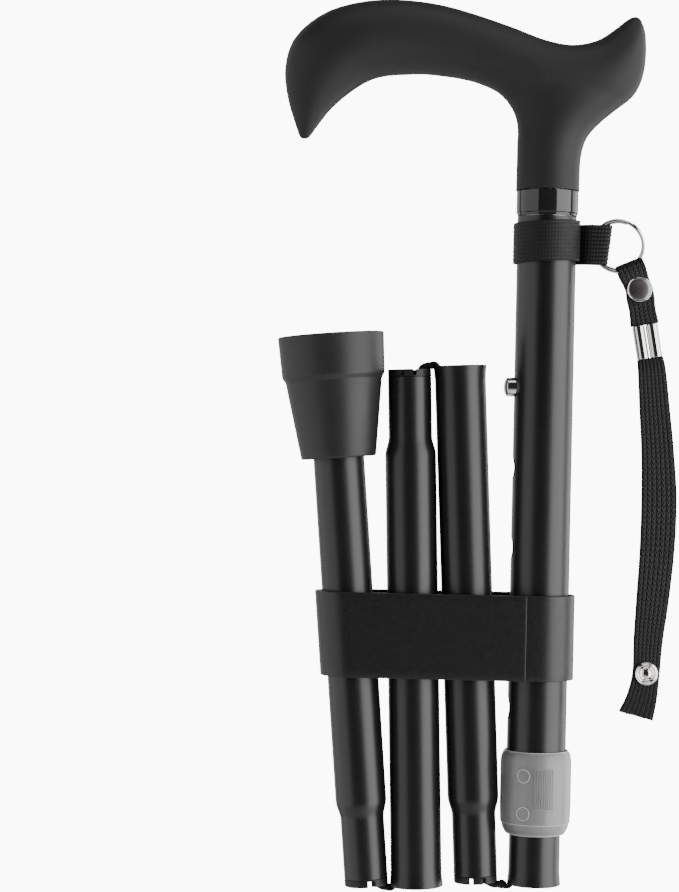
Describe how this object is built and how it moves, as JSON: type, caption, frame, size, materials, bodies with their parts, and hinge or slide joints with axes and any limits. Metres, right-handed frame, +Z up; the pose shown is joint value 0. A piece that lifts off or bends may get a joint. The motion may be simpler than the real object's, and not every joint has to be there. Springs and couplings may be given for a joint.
{
  "type": "folding support cane",
  "caption": "Folding support cane with a derby handle, stored folded: tubes on an elastic cord, push-button height setting, lock collar, rubber foot, storage band and wrist strap.",
  "frame": {"origin": "on the shaft axis where the palm rests on the handle", "axes": "+Z up along the upper tube, -X toward the handle's beak and the folded sections, +Y to the back"},
  "size_m": [0.1496, 0.0396, 0.3354],
  "materials": {
    "grip": "soft-touch matte black",
    "tube": "satin black anodised, fine grain",
    "ring": "gloss black anodised",
    "alloy": "plain turned alloy",
    "plastic": "moulded black nylon",
    "collar": "frosted translucent grey, fine ribs",
    "rubber": "matte black moulded rubber",
    "band": "smooth matte black elastic band",
    "webbing": "black braided webbing",
    "cord": "black braided elastic cord",
    "nickel": "bright nickel plate",
    "steel": "spring steel"
  },
  "bodies": {
    "upper": {"handle": "grip", "handle_tenon": "alloy", "ring_ferrule": "ring", "outer_tube": "tube", "lock_bush": "plastic", "storage_band": "band"},
    "lock_collar": {"lock_collar": "collar"},
    "telescope": {"inner_tube": "tube", "guide_plug": "plastic", "button_spring": "steel", "cord_anchor_top": "plastic", "cord_run_top": "cord"},
    "snap_button": {"snap_button": "nickel"},
    "link_1": {"cord_loop_1": "cord"},
    "section_1": {"section_tube_1": "tube", "end_bush_1": "plastic", "cord_run_1": "cord"},
    "link_2": {"cord_loop_2": "cord"},
    "section_2": {"section_tube_2": "tube", "end_bush_2": "plastic", "cord_run_2": "cord"},
    "link_3": {"cord_loop_3": "cord"},
    "section_3": {"section_tube_3": "tube", "end_bush_3": "plastic", "cord_run_3": "cord", "cord_anchor_foot": "plastic", "foot_washer": "steel", "rubber_foot": "rubber"},
    "webbing": {"webbing_band": "webbing"},
    "key_ring": {"split_ring": "nickel"},
    "wrist_strap": {"strap_tab": "webbing", "snap_cap": "nickel", "snap_socket": "nickel", "clip_barrel_1": "nickel", "clip_barrel_2": "nickel", "strap_front": "webbing", "strap_back": "webbing", "stud_cap": "nickel", "stud_back": "nickel"}
  },
  "joints": [
    {"name": "collar_twist", "type": "hinge", "parent": "upper", "child": "lock_collar", "pos_m": [0, 0, -0.28], "axis": [0, 0, 1], "range_deg": [0, 120]},
    {"name": "height_adjust", "type": "slide", "parent": "upper", "child": "telescope", "axis": [0, 0, -1], "range_m": [0, 0.12], "deforming": ["snap_button", "storage_band"]},
    {"name": "button_press", "type": "slide", "parent": "telescope", "child": "snap_button", "axis": [1, 0, 0], "range_m": [0, 0.0052], "stiffness_N_per_m": 800, "deforming": ["button_spring"]},
    {"name": "seat_1", "type": "slide", "parent": "telescope", "child": "link_1", "axis": [0, 0, 1], "range_m": [0, 0.0288], "deforming": ["cord_run_top", "cord_run_1", "cord_run_2", "cord_run_3"]},
    {"name": "fold_1", "type": "hinge", "parent": "link_1", "child": "section_1", "pos_m": [-0.01075, 0, -0.3152], "axis": [0, -1, 0], "range_deg": [0, 177.08], "deforming": ["cord_loop_1", "cord_loop_2", "cord_loop_3"]},
    {"name": "seat_2", "type": "slide", "parent": "section_1", "child": "link_2", "axis": [0.0509, 0, -0.9987], "range_m": [0, 0.0288]},
    {"name": "fold_2", "type": "hinge", "parent": "link_2", "child": "section_2", "pos_m": [-0.04083, 0, -0.12098], "axis": [0, 1, 0], "range_deg": [0, 179.01]},
    {"name": "seat_3", "type": "slide", "parent": "section_2", "child": "link_3", "axis": [-0.0337, 0, 0.9994], "range_m": [0, 0.0288]},
    {"name": "fold_3", "type": "hinge", "parent": "link_3", "child": "section_3", "pos_m": [-0.05289, 0, -0.317], "axis": [0, -1, 0], "range_deg": [0, 177.04]},
    {"name": "webbing_turn", "type": "hinge", "parent": "upper", "child": "webbing", "pos_m": [0, 0, -0.0748], "axis": [0, 0, 1], "range_deg": [-120, 120]},
    {"name": "ring_swing", "type": "hinge", "parent": "webbing", "child": "key_ring", "pos_m": [0.018, 0, -0.0748], "axis": [0, 0, 1], "range_deg": [-60, 60], "deforming": ["webbing_band"]},
    {"name": "strap_swing", "type": "hinge", "parent": "key_ring", "child": "wrist_strap", "pos_m": [0.03074, 0, -0.08297], "axis": [0.8829, 0, 0.4695], "range_deg": [-75, 75], "deforming": ["strap_tab"]}
  ],
  "couplings": [
    {"joint": "fold_2", "follows": "fold_1", "ratio": 1.0109},
    {"joint": "fold_3", "follows": "fold_1", "ratio": 0.99977},
    {"joint": "seat_2", "follows": "seat_1", "ratio": 1},
    {"joint": "seat_3", "follows": "seat_1", "ratio": 1}
  ]
}
